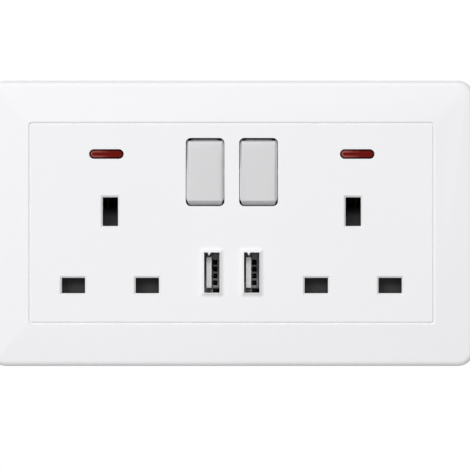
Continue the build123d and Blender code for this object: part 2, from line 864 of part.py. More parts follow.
def usb_chip():
    body = box(-2, 3, board_back + 0.1, board_back + 1.6, -3, 1)
    for s in sides:
        for i in range(4):
            x = -1.4 + 1.27 * i
            z = -1 + s * 2.4
            low, high = sorted((z, z - s * 0.6))
            body += box(x - 0.2, x + 0.2, board_back, board_back + 0.3, low, high)
    return body


nodes = {
    "front_cover": front_cover(),
    "frame": frame(),
    "rear_housing": rear_housing(),
    "assembly_screws": assembly_screws(),
    "live_busbar": live_busbar(),
    "neutral_busbar": neutral_busbar(),
    "earth_busbar": earth_busbar(),
    "usb_board": usb_board(),
    "transformer_core": transformer_core(),
    "transformer_winding": transformer_winding(),
    "capacitor_input": capacitor(14.6, 2.6, -11, -2),
    "capacitor_output": capacitor(0, 2.4, -12, -5),
    "usb_chip": usb_chip(),
}
for name in terminal_places():
    nodes["terminal_" + name] = terminal(name)
    nodes["terminal_screw_" + name] = terminal_screw(name)
for word, side in (("left", -1), ("right", 1)):
    nodes["rocker_" + word] = rocker(side * rocker_x)
    nodes["plunger_" + word] = plunger(side * rocker_x)
    nodes["plunger_spring_" + word] = plunger_spring(side * rocker_x)
    nodes["switch_arm_" + word] = switch_arm(side * rocker_x)
    nodes["moving_tip_" + word] = moving_tip(side * rocker_x)
    nodes["fixed_tip_" + word] = fixed_tip(side * rocker_x)
    nodes["switched_strip_" + word] = switched_strip(side)
    nodes["contact_tray_" + word] = contact_tray(side)
    nodes["shutter_" + word] = shutter(side)
    nodes["shutter_spring_" + word] = shutter_spring(side)
    nodes["neon_lens_" + word] = neon_lens(side)
    nodes["neon_bulb_" + word] = neon_bulb(side)
    nodes["neon_leads_" + word] = neon_leads(side)
    nodes["neon_resistor_" + word] = neon_resistor(side)
    nodes["usb_shell_" + word] = usb_shell(side)
    nodes["usb_tongue_" + word] = usb_tongue(side)
    nodes["usb_contacts_" + word] = usb_contacts(side)

os.makedirs("parts", exist_ok=True)
for name, shape in nodes.items():
    shape.label = name
    export_step(shape, "parts/" + name + ".step")
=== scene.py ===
import math

import bmesh
import bpy
import numpy as np
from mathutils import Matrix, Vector


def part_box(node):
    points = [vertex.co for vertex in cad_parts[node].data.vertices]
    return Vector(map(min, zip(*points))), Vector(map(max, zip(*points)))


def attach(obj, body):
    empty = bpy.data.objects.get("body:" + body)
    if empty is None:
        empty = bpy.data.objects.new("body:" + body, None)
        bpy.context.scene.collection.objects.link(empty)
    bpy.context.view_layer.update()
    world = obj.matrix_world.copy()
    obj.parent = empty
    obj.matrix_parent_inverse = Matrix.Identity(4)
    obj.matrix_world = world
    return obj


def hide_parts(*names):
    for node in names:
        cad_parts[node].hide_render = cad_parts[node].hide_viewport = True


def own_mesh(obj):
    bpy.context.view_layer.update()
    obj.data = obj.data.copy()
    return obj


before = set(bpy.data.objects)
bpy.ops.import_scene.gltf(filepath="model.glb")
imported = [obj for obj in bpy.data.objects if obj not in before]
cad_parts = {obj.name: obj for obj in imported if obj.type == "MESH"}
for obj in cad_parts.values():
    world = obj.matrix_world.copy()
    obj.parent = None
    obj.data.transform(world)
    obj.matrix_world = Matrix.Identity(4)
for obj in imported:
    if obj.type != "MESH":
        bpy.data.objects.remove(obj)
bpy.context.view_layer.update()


# Front cover: one moulding of glossy white urea plastic, clipped over the frame.
# Its skin is smooth, with the faint waviness and slight gloss change that moulded
# plates show. The groove, the bevels and the stepped collars are in the CAD solid.

def finish_with(node, material, edge_round=0.0, crease_angle=34, sharp_angle=38):
    """Gives a CAD node one material on a smooth skin. Its loose triangles are joined and
    flat ones merged, edges past the sharp angle (degrees) are rounded where a radius is
    given (metres), and the shading breaks at the crease angle (degrees)."""
    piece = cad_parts[node]
    piece.data.polygons.foreach_set("use_smooth", np.ones(len(piece.data.polygons), dtype=bool))
    piece.data.materials.clear()
    piece.data.materials.append(material)
    weld = piece.modifiers.new("weld", "WELD")
    weld.merge_threshold = 1e-6
    merge = piece.modifiers.new("merge", "DECIMATE")
    merge.decimate_type = "DISSOLVE"
    merge.angle_limit = math.radians(0.5)
    if edge_round:
        soften = piece.modifiers.new("soften", "BEVEL")
        soften.width = edge_round
        soften.segments = 3
        soften.limit_method = "ANGLE"
        soften.angle_limit = math.radians(sharp_angle)
        soften.use_clamp_overlap = False
    crease = piece.modifiers.new("crease", "EDGE_SPLIT")
    crease.split_angle = math.radians(crease_angle)
    flat = piece.modifiers.new("flat", "WEIGHTED_NORMAL")
    flat.weight = 100


def set_inputs(node, inputs):
    """Sets a shader node's sockets: another node's output is linked, a value is set."""
    for socket, value in inputs.items():
        if isinstance(value, bpy.types.NodeSocket):
            node.id_data.links.new(value, node.inputs[socket])
        else:
            node.inputs[socket].default_value = value


def add_node(tree, kind, inputs, **choices):
    """Adds a shader node of a kind with its own choices, then sets its sockets."""
    node = tree.nodes.new(kind)
    for choice, value in choices.items():
        setattr(node, choice, value)
    set_inputs(node, inputs)
    return node


def new_finish(name):
    """New node material: gives the material, its node tree and its shader."""
    finish = bpy.data.materials.new(name)
    finish.use_nodes = True
    tree = finish.node_tree
    return finish, tree, tree.nodes["Principled BSDF"]


def object_place(tree):
    """Output with the place of each point on the piece, in metres."""
    return tree.nodes.new("ShaderNodeTexCoord").outputs["Object"]


def noise(tree, place, scale, detail=2.0):
    """Output of a soft noise from 0 to 1, about scale lumps to the metre."""
    cloud = add_node(tree, "ShaderNodeTexNoise",
                     {"Vector": place, "Scale": scale, "Detail": detail})
    return cloud.outputs["Fac"]


def colour_between(tree, share, first, second):
    """Output of a colour that goes from the first to the second with the share."""
    mix = add_node(tree, "ShaderNodeMix", {"Factor": share, "A": first, "B": second},
                   data_type="RGBA")
    return mix.outputs["Result"]


def gloss_between(tree, share, low, high):
    """Output of a roughness that goes from low to high with the share."""
    span = add_node(tree, "ShaderNodeMapRange", {"Value": share, "To Min": low, "To Max": high})
    return span.outputs["Result"]


def raised(tree, height, strength):
    """Output of a skin lifted by the height, at most 0.1 mm times the strength."""
    bump = add_node(tree, "ShaderNodeBump",
                    {"Height": height, "Strength": strength, "Distance": 0.0001})
    return bump.outputs["Normal"]


def moulded_plastic(name, tone, gloss, grain=0.05, drift=0.02, speck=2600.0, shine=0.5):
    """Moulded plastic: over a few centimetres its tone drifts by a small part and its
    roughness by a tenth, and a fine noise of the speck's scale lifts the skin by the
    grain."""
    finish, tree, shader = new_finish(name)
    place = object_place(tree)
    cloud = noise(tree, place, 22.0)
    dark = [part * (1 - drift) for part in tone]
    light = [min(1.0, part * (1 + drift * 0.5)) for part in tone]
    set_inputs(shader, {
        "Base Color": colour_between(tree, cloud, (*dark, 1), (*light, 1)),
        "Roughness": gloss_between(tree, cloud, gloss - 0.04, gloss + 0.06),
        "Normal": raised(tree, noise(tree, place, speck, 3.0), grain),
        "Specular IOR Level": shine})
    return finish


cover_white = moulded_plastic("cover_white", (0.86, 0.86, 0.875), 0.42, grain=0.03)
finish_with("front_cover", cover_white, crease_angle=22)


# Collar skins: the smooth coved lips round the two USB mouths, in the cover's own
# plastic and part of its moulding. They fall from a rounded rim at the mouth to the
# plate in a hollow curve.

mm = 0.001
cover_front = -9.5
port_sides = (("left", -5.98), ("right", 5.98))
port_z = -14.8
mouth_half_x, mouth_half_z, mouth_corner = 2.325, 6.075, 0.05
lip_reach, lip_height = 1.9, 0.92


def rounded_loops(half_x, half_z, radius, steps=9):
    """Rounded rectangles round the origin as pairs (x, z), one for each size given: each
    corner is a quarter circle of the radius about a point set in by the radius."""
    sizes = (half_x, half_z, radius)
    half_x, half_z, radius = (np.asarray(size)[..., None, None] for size in sizes)
    start = np.arange(4)[:, None] * math.pi / 2
    t = np.linspace(0, math.pi / 2, steps) + start
    x = np.sign(np.cos(start + math.pi / 4)) * (half_x - radius) + radius * np.cos(t)
    z = np.sign(np.sin(start + math.pi / 4)) * (half_z - radius) + radius * np.sin(t)
    return np.stack([x, z], axis=-1).reshape(-1, 4 * steps, 2)


def loops_at(loops, depth, x, z):
    """Loops of pairs (x, z), each at its own depth along y, all moved by x and z."""
    parts = np.broadcast_arrays(loops[..., 0] + x, depth[:, None], loops[..., 1] + z)
    return np.stack(parts, axis=-1)


def loop_mesh(name, rings, joined=False):
    """Skin over closed loops of points (mm), ring after ring, made metres. Neighbouring
    loops are joined by four-sided faces; the last joins the first, or each end gets a fan
    of triangles round its middle point. Faces are then turned outwards."""
    m, n = rings.shape[:2]
    points = rings.reshape(-1, 3)
    i, j = np.meshgrid(np.arange(m if joined else m - 1), np.arange(n), indexing="ij")
    k, above = (j + 1) % n, (i + 1) % m
    faces = np.stack([i * n + j, i * n + k, above * n + k, above * n + j], axis=-1)
    faces = faces.reshape(-1, 4).tolist()
    if not joined:
        points = np.vstack([points, rings[0].mean(axis=0), rings[-1].mean(axis=0)])
        j, k = np.arange(n), (np.arange(n) + 1) % n
        first = np.stack([np.full(n, m * n), k, j], axis=-1)
        last = np.stack([np.full(n, m * n + 1), (m - 1) * n + j, (m - 1) * n + k], axis=-1)
        faces += first.tolist() + last.tolist()
    mesh = bpy.data.meshes.new(name)
    mesh.from_pydata((points * mm).tolist(), [], faces)
    work = bmesh.new()
    work.from_mesh(mesh)
    bmesh.ops.recalc_face_normals(work, faces=work.faces)
    work.to_mesh(mesh)
    work.free()
    return mesh


def add_piece(mesh, finish, body, slot, *nodes):
    """Adds a mesh as a piece with smooth shading up to 40 degrees. It moves with the body
    and stands for the given solids."""
    piece = bpy.data.objects.new(mesh.name, mesh)
    bpy.context.scene.collection.objects.link(piece)
    mesh.polygons.foreach_set("use_smooth", np.ones(len(mesh.polygons), dtype=bool))
    mesh.materials.append(finish)
    crease = piece.modifiers.new("crease", "EDGE_SPLIT")
    crease.split_angle = math.radians(40)
    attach(piece, body)
    if nodes:
        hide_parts(*nodes)
    return piece


# The rim first, then the height (1 - s)^3 over the plate for s from 0 to 1, and last
# the underside, which lies in the plate.
lip_share = np.linspace(0, 1, 15)
lip_out = np.concatenate([[0.005, 0.06], 0.15 + lip_reach * lip_share, [1.0, 0.005]])
lip_fall = 0.02 + cover_front - lip_height * (1 - lip_share) ** 3
lip_y = np.concatenate([[-10.3, -10.39], lip_fall, [-9.2, -9.2]])
lip_loops = rounded_loops(mouth_half_x + lip_out, mouth_half_z + lip_out,
                          mouth_corner + 0.8 * lip_out)
for side, port_x in port_sides:
    rings = loops_at(lip_loops, lip_y, port_x, port_z)
    add_piece(loop_mesh("collar_skin_" + side, rings, joined=True), cover_white,
              "socket", "cover_plastic")


# Rockers: separate mouldings in the same family of white, a shade greyer than the
# plate. Each is held by its two trunnions in the frame.

rocker_white = moulded_plastic("rocker_white", (0.6, 0.6, 0.61), 0.38, grain=0.02)
for side in ("left", "right"):
    finish_with("rocker_" + side, rocker_white, edge_round=0.00035, crease_angle=70, sharp_angle=68)


# Rocker ledges: thin moulded steps along both sides of each rocker, below its face.
# They shut out dust and close the gap beside the rocker.

rocker_sides = (("left", -8.03), ("right", 8.03))
rocker_lean = math.radians(6.5)
trunnion_y, trunnion_z = -5.0, 15.4


def leaned(points, rocker_x):
    """Points from the trunnions' middle (mm), turned into the off position about the
    trunnions' line: y cos a + z sin a and z cos a - y sin a, then moved to the rocker."""
    x, y, z = np.moveaxis(points, -1, 0)
    return np.stack([x + rocker_x,
                     y * math.cos(rocker_lean) + z * math.sin(rocker_lean) + trunnion_y,
                     z * math.cos(rocker_lean) - y * math.sin(rocker_lean) + trunnion_z], axis=-1)


# A cut of six points, carried along the rocker's height and drawn in near both ends, but
# never to less than what lies inside the rocker.
cut_x = np.array([5.1, 5.3, 5.55, 5.62, 5.62, 5.1])
cut_y = np.array([-4.22, -4.2, -4.12, -4.0, -3.3, -2.9])
least_x, ledge_half, drawn_from, drawn_over, drawn_in = 5.05, 9.3, 8.3, 0.9, 0.07
ledge_run = np.linspace(-ledge_half, ledge_half, 32)[:, None]
near_end = np.clip((np.abs(ledge_run) - drawn_from) / drawn_over, 0, 1)
ledge_out = np.maximum(cut_x * (1 - drawn_in * near_end ** 2), least_x)
for side, rocker_x in rocker_sides:
    for edge, way in (("a", -1), ("b", 1)):
        rings = np.stack(np.broadcast_arrays(way * ledge_out, cut_y, ledge_run), axis=-1)
        add_piece(loop_mesh("rocker_ledge_" + edge + "_" + side, leaned(rings, rocker_x)),
                  rocker_white, "rocker_body_" + side, "rocker_plastic")


# Rocker heads: the rounded upper end of each rocker, full enough to leave only a hair's
# breadth to the cover. Its arc is centred on the trunnions, so it clears as it tips.

head_reach, head_swell, head_root = 9.88, 0.29, 9.7
swell_over = math.radians(11)
head_half, head_full, head_fall = 4.3, 3.5, 0.8
head_turn = np.radians(np.linspace(-29, 4, 16))
head_rise = np.clip((head_turn - head_turn[0]) / swell_over, 0, 1)
head_rise = head_rise * head_rise * (3 - 2 * head_rise)
head_run = np.linspace(-head_half, head_half, 18)[:, None]
head_side = 1 - np.clip((np.abs(head_run) - head_full) / head_fall, 0, 1) ** 2
# The swell rises along the arc by 3 r^2 - 2 r^3 and falls off towards both sides. The
# radius runs out over the swell and back along the root, and turn is its angle.
head_front = head_reach + head_swell * head_rise * head_side
radius = np.concatenate([head_front, np.full_like(head_front, head_root)], axis=1)
turn = np.concatenate([head_turn, head_turn[::-1]])
head_rings = np.broadcast_arrays(head_run, radius * np.sin(turn), radius * np.cos(turn))
for side, rocker_x in rocker_sides:
    rings = leaned(np.stack(head_rings, axis=-1), rocker_x)
    add_piece(loop_mesh("rocker_head_" + side, rings),
              rocker_white, "rocker_body_" + side, "rocker_plastic")


# Frame, contact trays and plungers: matt dark grey structural mouldings behind the
# cover, so the gaps round the rockers and the inside of the pin holes look black.

frame_dark = moulded_plastic("frame_dark", (0.022, 0.022, 0.024), 0.6, grain=0.12)
finish_with("frame", frame_dark)
for side in ("left", "right"):
    finish_with("contact_tray_" + side, frame_dark)
    finish_with("plunger_" + side, frame_dark)


# Rear housing: one dark grey moulding with a light spark-eroded texture. Four short
# screws hold it to the frame.

housing_dark = moulded_plastic("housing_dark", (0.05, 0.05, 0.053), 0.62, grain=0.35, speck=1500.0)
finish_with("rear_housing", housing_dark, edge_round=0.00025)


# Shutters: dark grey mouldings that slide in the frame and close the pin holes, where
# their fronts are seen.

shutter_dark = moulded_plastic("shutter_dark", (0.03, 0.03, 0.031), 0.6, grain=0.08, shine=0.25)
for side in ("left", "right"):
    finish_with("shutter_" + side, shutter_dark)


# Indicator lenses: dark red polycarbonate, moulded clear and tinted through. Painted shade darkens
# the red towards the edge, and a painted highlight, with the unlit bulb behind painted in as if
# seen through, pales the left part.

def maths(tree, operation, *terms):
    """Output of one operation on numbers or outputs, as many as the operation takes."""
    step = add_node(tree, "ShaderNodeMath", dict(enumerate(terms)), operation=operation)
    return step.outputs["Value"]


def colour_ramp(tree, share, stops, interpolation="LINEAR"):
    """Output of a colour that runs through the stops, pairs of a share and a colour (red,
    green, blue), in rising order."""
    node = add_node(tree, "ShaderNodeValToRGB", {"Fac": share})
    ramp = node.color_ramp
    ramp.interpolation = interpolation
    for element, (position, colour) in zip(ramp.elements, (stops[0], stops[-1])):
        element.position = position
        element.color = (*colour, 1)
    for position, colour in stops[1:-1]:
        ramp.elements.new(position).color = (*colour, 1)
    return node.outputs["Color"]


def tinted_lens(name, centre_x, centre_z, half_straight, half_height):
    """Tinted clear plastic with painted light. Its depth is the distance from the lens's middle
    line over the half height, 0 on the line and 1 at the edge, and a painted shade darkens its red
    with it towards the edge. A soft noise pales a band at mid depth where x is left of the middle:
    a painted highlight, with the unlit bulb behind painted in."""
    finish, tree, shader = new_finish(name)
    place = object_place(tree)
    centred = add_node(tree, "ShaderNodeMapping",
                       {"Vector": place, "Location": (-centre_x, 0, -centre_z)})
    parts = add_node(tree, "ShaderNodeSeparateXYZ", {"Vector": centred.outputs["Vector"]})
    from_middle = maths(tree, "ABSOLUTE", parts.outputs["X"])
    past_end = maths(tree, "MAXIMUM", maths(tree, "SUBTRACT", from_middle, half_straight), 0.0)
    from_line = maths(tree, "ABSOLUTE", parts.outputs["Z"])
    square = maths(tree, "ADD", maths(tree, "POWER", past_end, 2.0),
                   maths(tree, "POWER", from_line, 2.0))
    depth = maths(tree, "DIVIDE", maths(tree, "SQRT", square), half_height)
    line_red, middle_red = (0.12, 0.004, 0.002), (0.15, 0.008, 0.005)
    # Painted shade: the red falls near to black at the rim. Painted highlight: a pale pink on the
    # left.
    rim_shade_red, highlight_pink = (0.012, 0.001, 0.001), (0.5, 0.16, 0.15, 1)
    red = colour_ramp(tree, depth, [(0.0, line_red), (0.5, middle_red), (0.9, rim_shade_red)])
    ring = colour_ramp(tree, depth, [(0.2, (0, 0, 0)), (0.55, (1, 1, 1)), (0.85, (0, 0, 0))])
    cloud = noise(tree, place, 420.0, 1.0)
    leftness = add_node(tree, "ShaderNodeMapRange",
                        {"Value": parts.outputs["X"], "From Min": 0.001, "From Max": -0.0035})
    # Painted highlight and painted bulb: the pale pink is mixed in by the left side, the mid-depth
    # band and the noise.
    painted_highlight = maths(tree, "MULTIPLY", leftness.outputs["Result"], maths(tree, "MULTIPLY", ring, cloud))
    set_inputs(shader, {
        "Base Color": colour_between(tree, painted_highlight, red, highlight_pink),
        "Normal": raised(tree, cloud, 0.08),
        "Roughness": 0.16,
        "Specular IOR Level": 0.05})
    return finish


for side in ("left", "right"):
    low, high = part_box("neon_lens_" + side)
    lens_red = tinted_lens("lens_red_" + side, (low[0] + high[0]) / 2, (low[2] + high[2]) / 2,
                           half_straight=0.00375, half_height=0.00135)
    finish_with("neon_lens_" + side, lens_red)


# Brass work: bright turned terminals, and dull stamped busbars, strips with their clips
# and switch arms, with faint drawing lines and a little tarnish.

def drawn_metal(name, tone, tarnish, rough, stretch=(1.0, 1.0, 18.0)):
    """Bare metal: colour mixes towards a tarnish by a soft noise, and a noise stretched
    along one direction gives the drawing lines in gloss and bump."""
    finish, tree, shader = new_finish(name)
    place = object_place(tree)
    along = add_node(tree, "ShaderNodeMapping", {"Vector": place, "Scale": stretch})
    lines = noise(tree, along.outputs["Vector"], 900.0)
    set_inputs(shader, {
        "Base Color": colour_between(tree, noise(tree, place, 180.0), (*tone, 1), (*tarnish, 1)),
        "Roughness": gloss_between(tree, lines, rough - 0.08, rough + 0.1),
        "Normal": raised(tree, lines, 0.12),
        "Metallic": 1.0})
    return finish


brass = drawn_metal("brass", (0.78, 0.57, 0.25), (0.6, 0.4, 0.18), 0.3)
for node in ("terminal_live", "terminal_neutral", "terminal_earth_left", "terminal_earth_right"):
    finish_with(node, brass)
dull_brass = drawn_metal("dull_brass", (0.2, 0.135, 0.06), (0.11, 0.07, 0.035), 0.5)
for node in ("live_busbar", "neutral_busbar", "earth_busbar", "switched_strip_left",
             "switched_strip_right", "switch_arm_left", "switch_arm_right"):
    finish_with(node, dull_brass)


# Contact tips: small silver rivets where each switch arm meets its strip, one set in
# the arm and one in the strip.

silver = drawn_metal("silver", (0.8, 0.79, 0.76), (0.6, 0.58, 0.54), 0.28)
for side in ("left", "right"):
    finish_with("moving_tip_" + side, silver)
    finish_with("fixed_tip_" + side, silver)


# Screws: zinc-plated steel, four that hold the rear housing and four that clamp the
# wires in the terminals.

evenly = (1.0, 1.0, 1.0)
zinc = drawn_metal("zinc_plate", (0.72, 0.72, 0.68), (0.6, 0.61, 0.52), 0.3, stretch=evenly)
finish_with("assembly_screws", zinc)
for end in ("live", "neutral", "earth_left", "earth_right"):
    finish_with("terminal_screw_" + end, zinc)


# Springs: plain steel wire, wound as round compression springs with closed ends. One
# sits behind each plunger in its rocker, and one under each shutter, which flattens it.

spring_wire = drawn_metal("spring_wire", (0.5, 0.5, 0.51), (0.38, 0.37, 0.36), 0.26, stretch=evenly)


def coil_rings(radius, wire, length, turns, end=0.8, around=10):
    """Compression spring along its own third axis, from 0 to its length. The middle line
    is R cos a, R sin a, h(a); h climbs by one wire a turn over the closed part of a turn
    at each end and rises evenly between. Each loop is a circle of the wire's radius,
    square to the line."""
    a = np.linspace(0, 2 * math.pi * turns, turns * 28 + 1)
    turn = a / (2 * math.pi)
    share = np.clip((turn - end) / (turns - 2 * end), 0, 1)
    closed = np.clip(turn, 0, end) + np.clip(turn - turns + end, 0, end)
    h = wire / 2 + closed * wire + share * (length - (1 + 2 * end) * wire)
    line_radius = radius - wire / 2
    line = np.stack([line_radius * np.cos(a), line_radius * np.sin(a), h], axis=-1)
    ahead = np.gradient(line, axis=0)
    ahead /= np.linalg.norm(ahead, axis=1, keepdims=True)
    outward = np.stack([np.cos(a), np.sin(a), np.zeros_like(a)], axis=-1)
    up = np.cross(ahead, outward)
    t = np.linspace(0, 2 * math.pi, around, endpoint=False)[None, :, None]
    return line[:, None] + wire / 2 * (outward[:, None] * np.cos(t) + up[:, None] * np.sin(t))


plunger_coil_y = -3.45
plunger_rings = coil_rings(radius=1.75, wire=0.42, length=4.9, turns=6)
plunger_rings = np.stack([plunger_rings[..., 0], plunger_coil_y + plunger_rings[..., 2],
                          -plunger_rings[..., 1]], axis=-1)
for side, rocker_x in rocker_sides:
    add_piece(loop_mesh("plunger_coil_" + side, leaned(plunger_rings, rocker_x)), spring_wire,
              "rocker_body_" + side, "spring_steel", "plunger_spring_" + side)

shutter_coil_x, shutter_coil_y, shutter_coil_foot = 36.5, -4.1, -12.15
shutter_rings = coil_rings(radius=1.0, wire=0.35, length=9.6, turns=8)
for side, way in (("left", -1), ("right", 1)):
    rings = shutter_rings + np.array([way * shutter_coil_x, shutter_coil_y, shutter_coil_foot])
    shutter_coil = add_piece(loop_mesh("shutter_coil_" + side, rings), spring_wire, "socket",
                             "spring_steel", "shutter_spring_" + side)
    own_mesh(shutter_coil)


# Neon bulbs: blown envelopes of thin clear glass, drawn out to a seal at the outer end.
# One lies behind each lens.

bulb_glass, glass_tree, glass_shader = new_finish("bulb_glass")
set_inputs(glass_shader, {
    "Base Color": (0.95, 0.93, 0.9, 1),
    "Roughness": 0.05,
    "Transmission Weight": 0.9,
    "Normal": raised(glass_tree, noise(glass_tree, object_place(glass_tree), 300.0), 0.05)})


def turned_rings(reach, radius, around=28):
    """Turned form along its own third axis: at each reach, a circle of that radius."""
    t = np.linspace(0, 2 * math.pi, around, endpoint=False)
    reach, radius = np.asarray(reach)[:, None], np.asarray(radius)[:, None]
    return np.stack(np.broadcast_arrays(radius * np.cos(t), radius * np.sin(t), reach), axis=-1)


def give_wall(piece, thickness, offset):
    """Gives a thin piece its wall in metres, inwards for -1 and to both sides for 0."""
    wall = piece.modifiers.new("wall", "SOLIDIFY")
    wall.thickness = thickness
    wall.offset = offset


bulb_x, bulb_y, bulb_z = 37.65, -2.8, 20.8
bulb_rings = turned_rings(
    [-5.0, -4.9, -4.6, -4.1, -3.4, -2.6, 2.0, 2.9, 3.5, 3.9, 4.1, 4.5, 4.9, 5.0],
    [0.5, 0.95, 1.4, 1.75, 1.93, 2.0, 2.0, 1.9, 1.65, 1.2, 0.75, 0.5, 0.36, 0.2])
for side, way in (("left", -1), ("right", 1)):
    rings = np.stack([way * (bulb_x + bulb_rings[..., 2]), bulb_y + bulb_rings[..., 0],
                      bulb_z + bulb_rings[..., 1]], axis=-1)
    bulb = add_piece(loop_mesh("bulb_envelope_" + side, rings), bulb_glass, "socket", "bulb_glass",
                     "neon_bulb_" + side)
    give_wall(bulb, 0.0004, -1)


# Series resistors: tan lacquered bodies with swollen ends and painted colour bands, in
# line with one lead of each bulb.

def painted_along(finish, axis, start, end, stops, interpolation="LINEAR"):
    """Recolours a finish by place: from start to end along one axis, in metres, the
    colour runs through the stops."""
    tree = finish.node_tree
    parts = add_node(tree, "ShaderNodeSeparateXYZ", {"Vector": object_place(tree)})
    span = add_node(tree, "ShaderNodeMapRange",
                    {"Value": parts.outputs[axis], "From Min": start, "From Max": end})
    colour = colour_ramp(tree, span.outputs["Result"], stops, interpolation)
    set_inputs(tree.nodes["Principled BSDF"], {"Base Color": colour})


tan, brown, black = (0.5, 0.34, 0.18), (0.12, 0.05, 0.02), (0.02, 0.02, 0.02)
yellow, gold = (0.6, 0.45, 0.03), (0.45, 0.3, 0.06)
resistor_tan = moulded_plastic("resistor_tan", tan, 0.45, grain=0.2)
painted_along(resistor_tan, "Z", 0.009, 0.015, [
    (0.0, tan), (0.14, brown), (0.22, tan), (0.34, black), (0.42, tan), (0.5, yellow),
    (0.58, tan), (0.78, gold), (0.86, tan)], "CONSTANT")
resistor_x, resistor_y = 31.9, 5.0
resistor_rings = turned_rings(
    [9.0, 9.06, 9.3, 9.9, 10.3, 10.6, 13.4, 13.7, 14.1, 14.7, 14.94, 15.0],
    [0.35, 0.7, 0.95, 1.0, 0.93, 0.8, 0.8, 0.93, 1.0, 0.95, 0.7, 0.35])
for side, way in (("left", -1), ("right", 1)):
    rings = resistor_rings + np.array([way * resistor_x, resistor_y, 0.0])
    add_piece(loop_mesh("banded_resistor_" + side, rings), resistor_tan, "socket", "resistor_body",
              "neon_resistor_" + side)


# Bulb leads: tinned copper wire, bent by hand from each bulb to its resistor and on to
# the brass work.

tinned = drawn_metal("tinned_wire", (0.7, 0.69, 0.66), (0.55, 0.54, 0.5), 0.34)
for side in ("left", "right"):
    finish_with("neon_leads_" + side, tinned, edge_round=0.00012)


# USB ports: folded nickel-plated shells round white moulded tongues, with four gold-flashed strips
# let into each tongue. The shells' metal and the strips' gold are painted near black, as painted
# shade inside the mouths.

# Painted shade: the shells' plated metal gets a near-black tone for the shade inside the mouths.
nickel = drawn_metal("nickel", (0.12, 0.12, 0.12), (0.08, 0.08, 0.08), 0.4,
                     stretch=(1.0, 12.0, 1.0))
tongue_white = moulded_plastic("tongue_white", (0.95, 0.95, 0.95), 0.4)
# Painted shade: the strips' gold is darkened near to black.
gold_flash = drawn_metal("gold_flash", (0.05, 0.036, 0.016), (0.03, 0.022, 0.01), 0.5)
for side in ("left", "right"):
    finish_with("usb_shell_" + side, nickel)
    finish_with("usb_tongue_" + side, tongue_white)
    finish_with("usb_contacts_" + side, gold_flash)


# Contact wells: a thin comb of pale plastic at the back of each mouth, with a square well for each
# of the four strips. Past the comb's face the colour turns black as painted shade, on the well
# floors and on the comb's deep lower end.

def open_sheet(name, points):
    """Four-sided faces between the neighbours of a grid of points (mm), made metres."""
    m, n = points.shape[:2]
    i, j = np.meshgrid(np.arange(m - 1), np.arange(n - 1), indexing="ij")
    corner = i * n + j
    faces = np.stack([corner, corner + n, corner + n + 1, corner + 1], axis=-1)
    mesh = bpy.data.meshes.new(name)
    mesh.from_pydata((points * mm).reshape(-1, 3).tolist(), [], faces.reshape(-1, 4).tolist())
    return mesh


comb_face, well_floor, comb_drop = 1.5, 2.35, 0.2
comb_painted_shade = moulded_plastic("comb_painted_shade", (0.5, 0.5, 0.5), 0.5)
# Painted shade: deeper than the comb's face along y, the pale plastic turns black.
painted_along(comb_painted_shade, "Y", 0.00155, 0.0018,
              [(0.0, (0.8, 0.8, 0.8)), (1.0, (0.01, 0.01, 0.01))])
well_middle = np.array([-3.15, -1.05, 1.05, 3.15]) - comb_drop
well_edges = (well_middle[:, None] + [-0.77, -0.73, 0.73, 0.77]).ravel()
comb_x = np.array([0.16, 0.2, 0.24, 1.56, 1.6, 2.5])
comb_z = np.concatenate([[-6.2, -5.04, -5.0], well_edges, [5.4, 6.2]])
# The sheet lies at the comb's face, and at the well's floor inside a well or low down.
x, z = np.meshgrid(comb_x, comb_z, indexing="ij")
in_well = (x > 0.22) & (x < 1.58) & (np.abs(z[..., None] - well_middle).min(axis=-1) < 0.75)
comb_y = np.where(in_well | (z < -5.02), well_floor, comb_face)
for side, port_x in port_sides:
    comb = open_sheet("contact_wells_" + side, np.stack([port_x + x, comb_y, port_z + z], axis=-1))
    give_wall(add_piece(comb, comb_painted_shade, "socket", "port_plastic"), 0.0001, 0)


# Shell leaves: the small spring leaf at the top of each mouth, cut from the shell and bent inwards
# to bear on the plug; its metal is painted near white as a painted highlight, far brighter than the
# shell. It narrows to its tip.

# Painted highlight: the leaf's metal is near white, though the shell it is cut from is near black.
leaf_painted_highlight = drawn_metal("leaf_painted_highlight", (0.92, 0.92, 0.92), (0.85, 0.85, 0.85), 0.2)
leaf_x, leaf_y, leaf_z = -0.87, -6.5, 6.28
leaf_half, leaf_length, leaf_taper, leaf_bend = 0.78, 1.2, 0.93, 0.25
# Along the leaf by u from 0 to 1 and across it by v from -1 to 1.
u, v = np.meshgrid(np.linspace(0, 1, 9), np.linspace(-1, 1, 7), indexing="ij")
for side, port_x in port_sides:
    leaf = np.stack([port_x + leaf_x + leaf_half * v * (1 - leaf_taper * u),
                     leaf_y + leaf_bend * u ** 2, port_z + leaf_z - leaf_length * u], axis=-1)
    leaf = open_sheet("shell_leaf_" + side, leaf)
    give_wall(add_piece(leaf, leaf_painted_highlight, "socket", "port_shell"), 0.00012, 0)


# USB supply: a green lacquered board that stands on posts of the frame, with a sintered
# ferrite core and a black moulded chip soldered to it.

board_green = moulded_plastic("board_green", (0.035, 0.16, 0.06), 0.4, grain=0.2, drift=0.15,
                              speck=900.0)
ferrite = moulded_plastic("ferrite", (0.05, 0.05, 0.052), 0.7, grain=0.3, drift=0.1)
chip_black = moulded_plastic("chip_black", (0.03, 0.03, 0.03), 0.6, grain=0.3)
finish_with("usb_board", board_green)
finish_with("transformer_core", ferrite)
finish_with("usb_chip", chip_black)


# Wound coil: fine lacquered wire laid turn by side between two end cheeks on the core,
# with yellow tape over the middle.

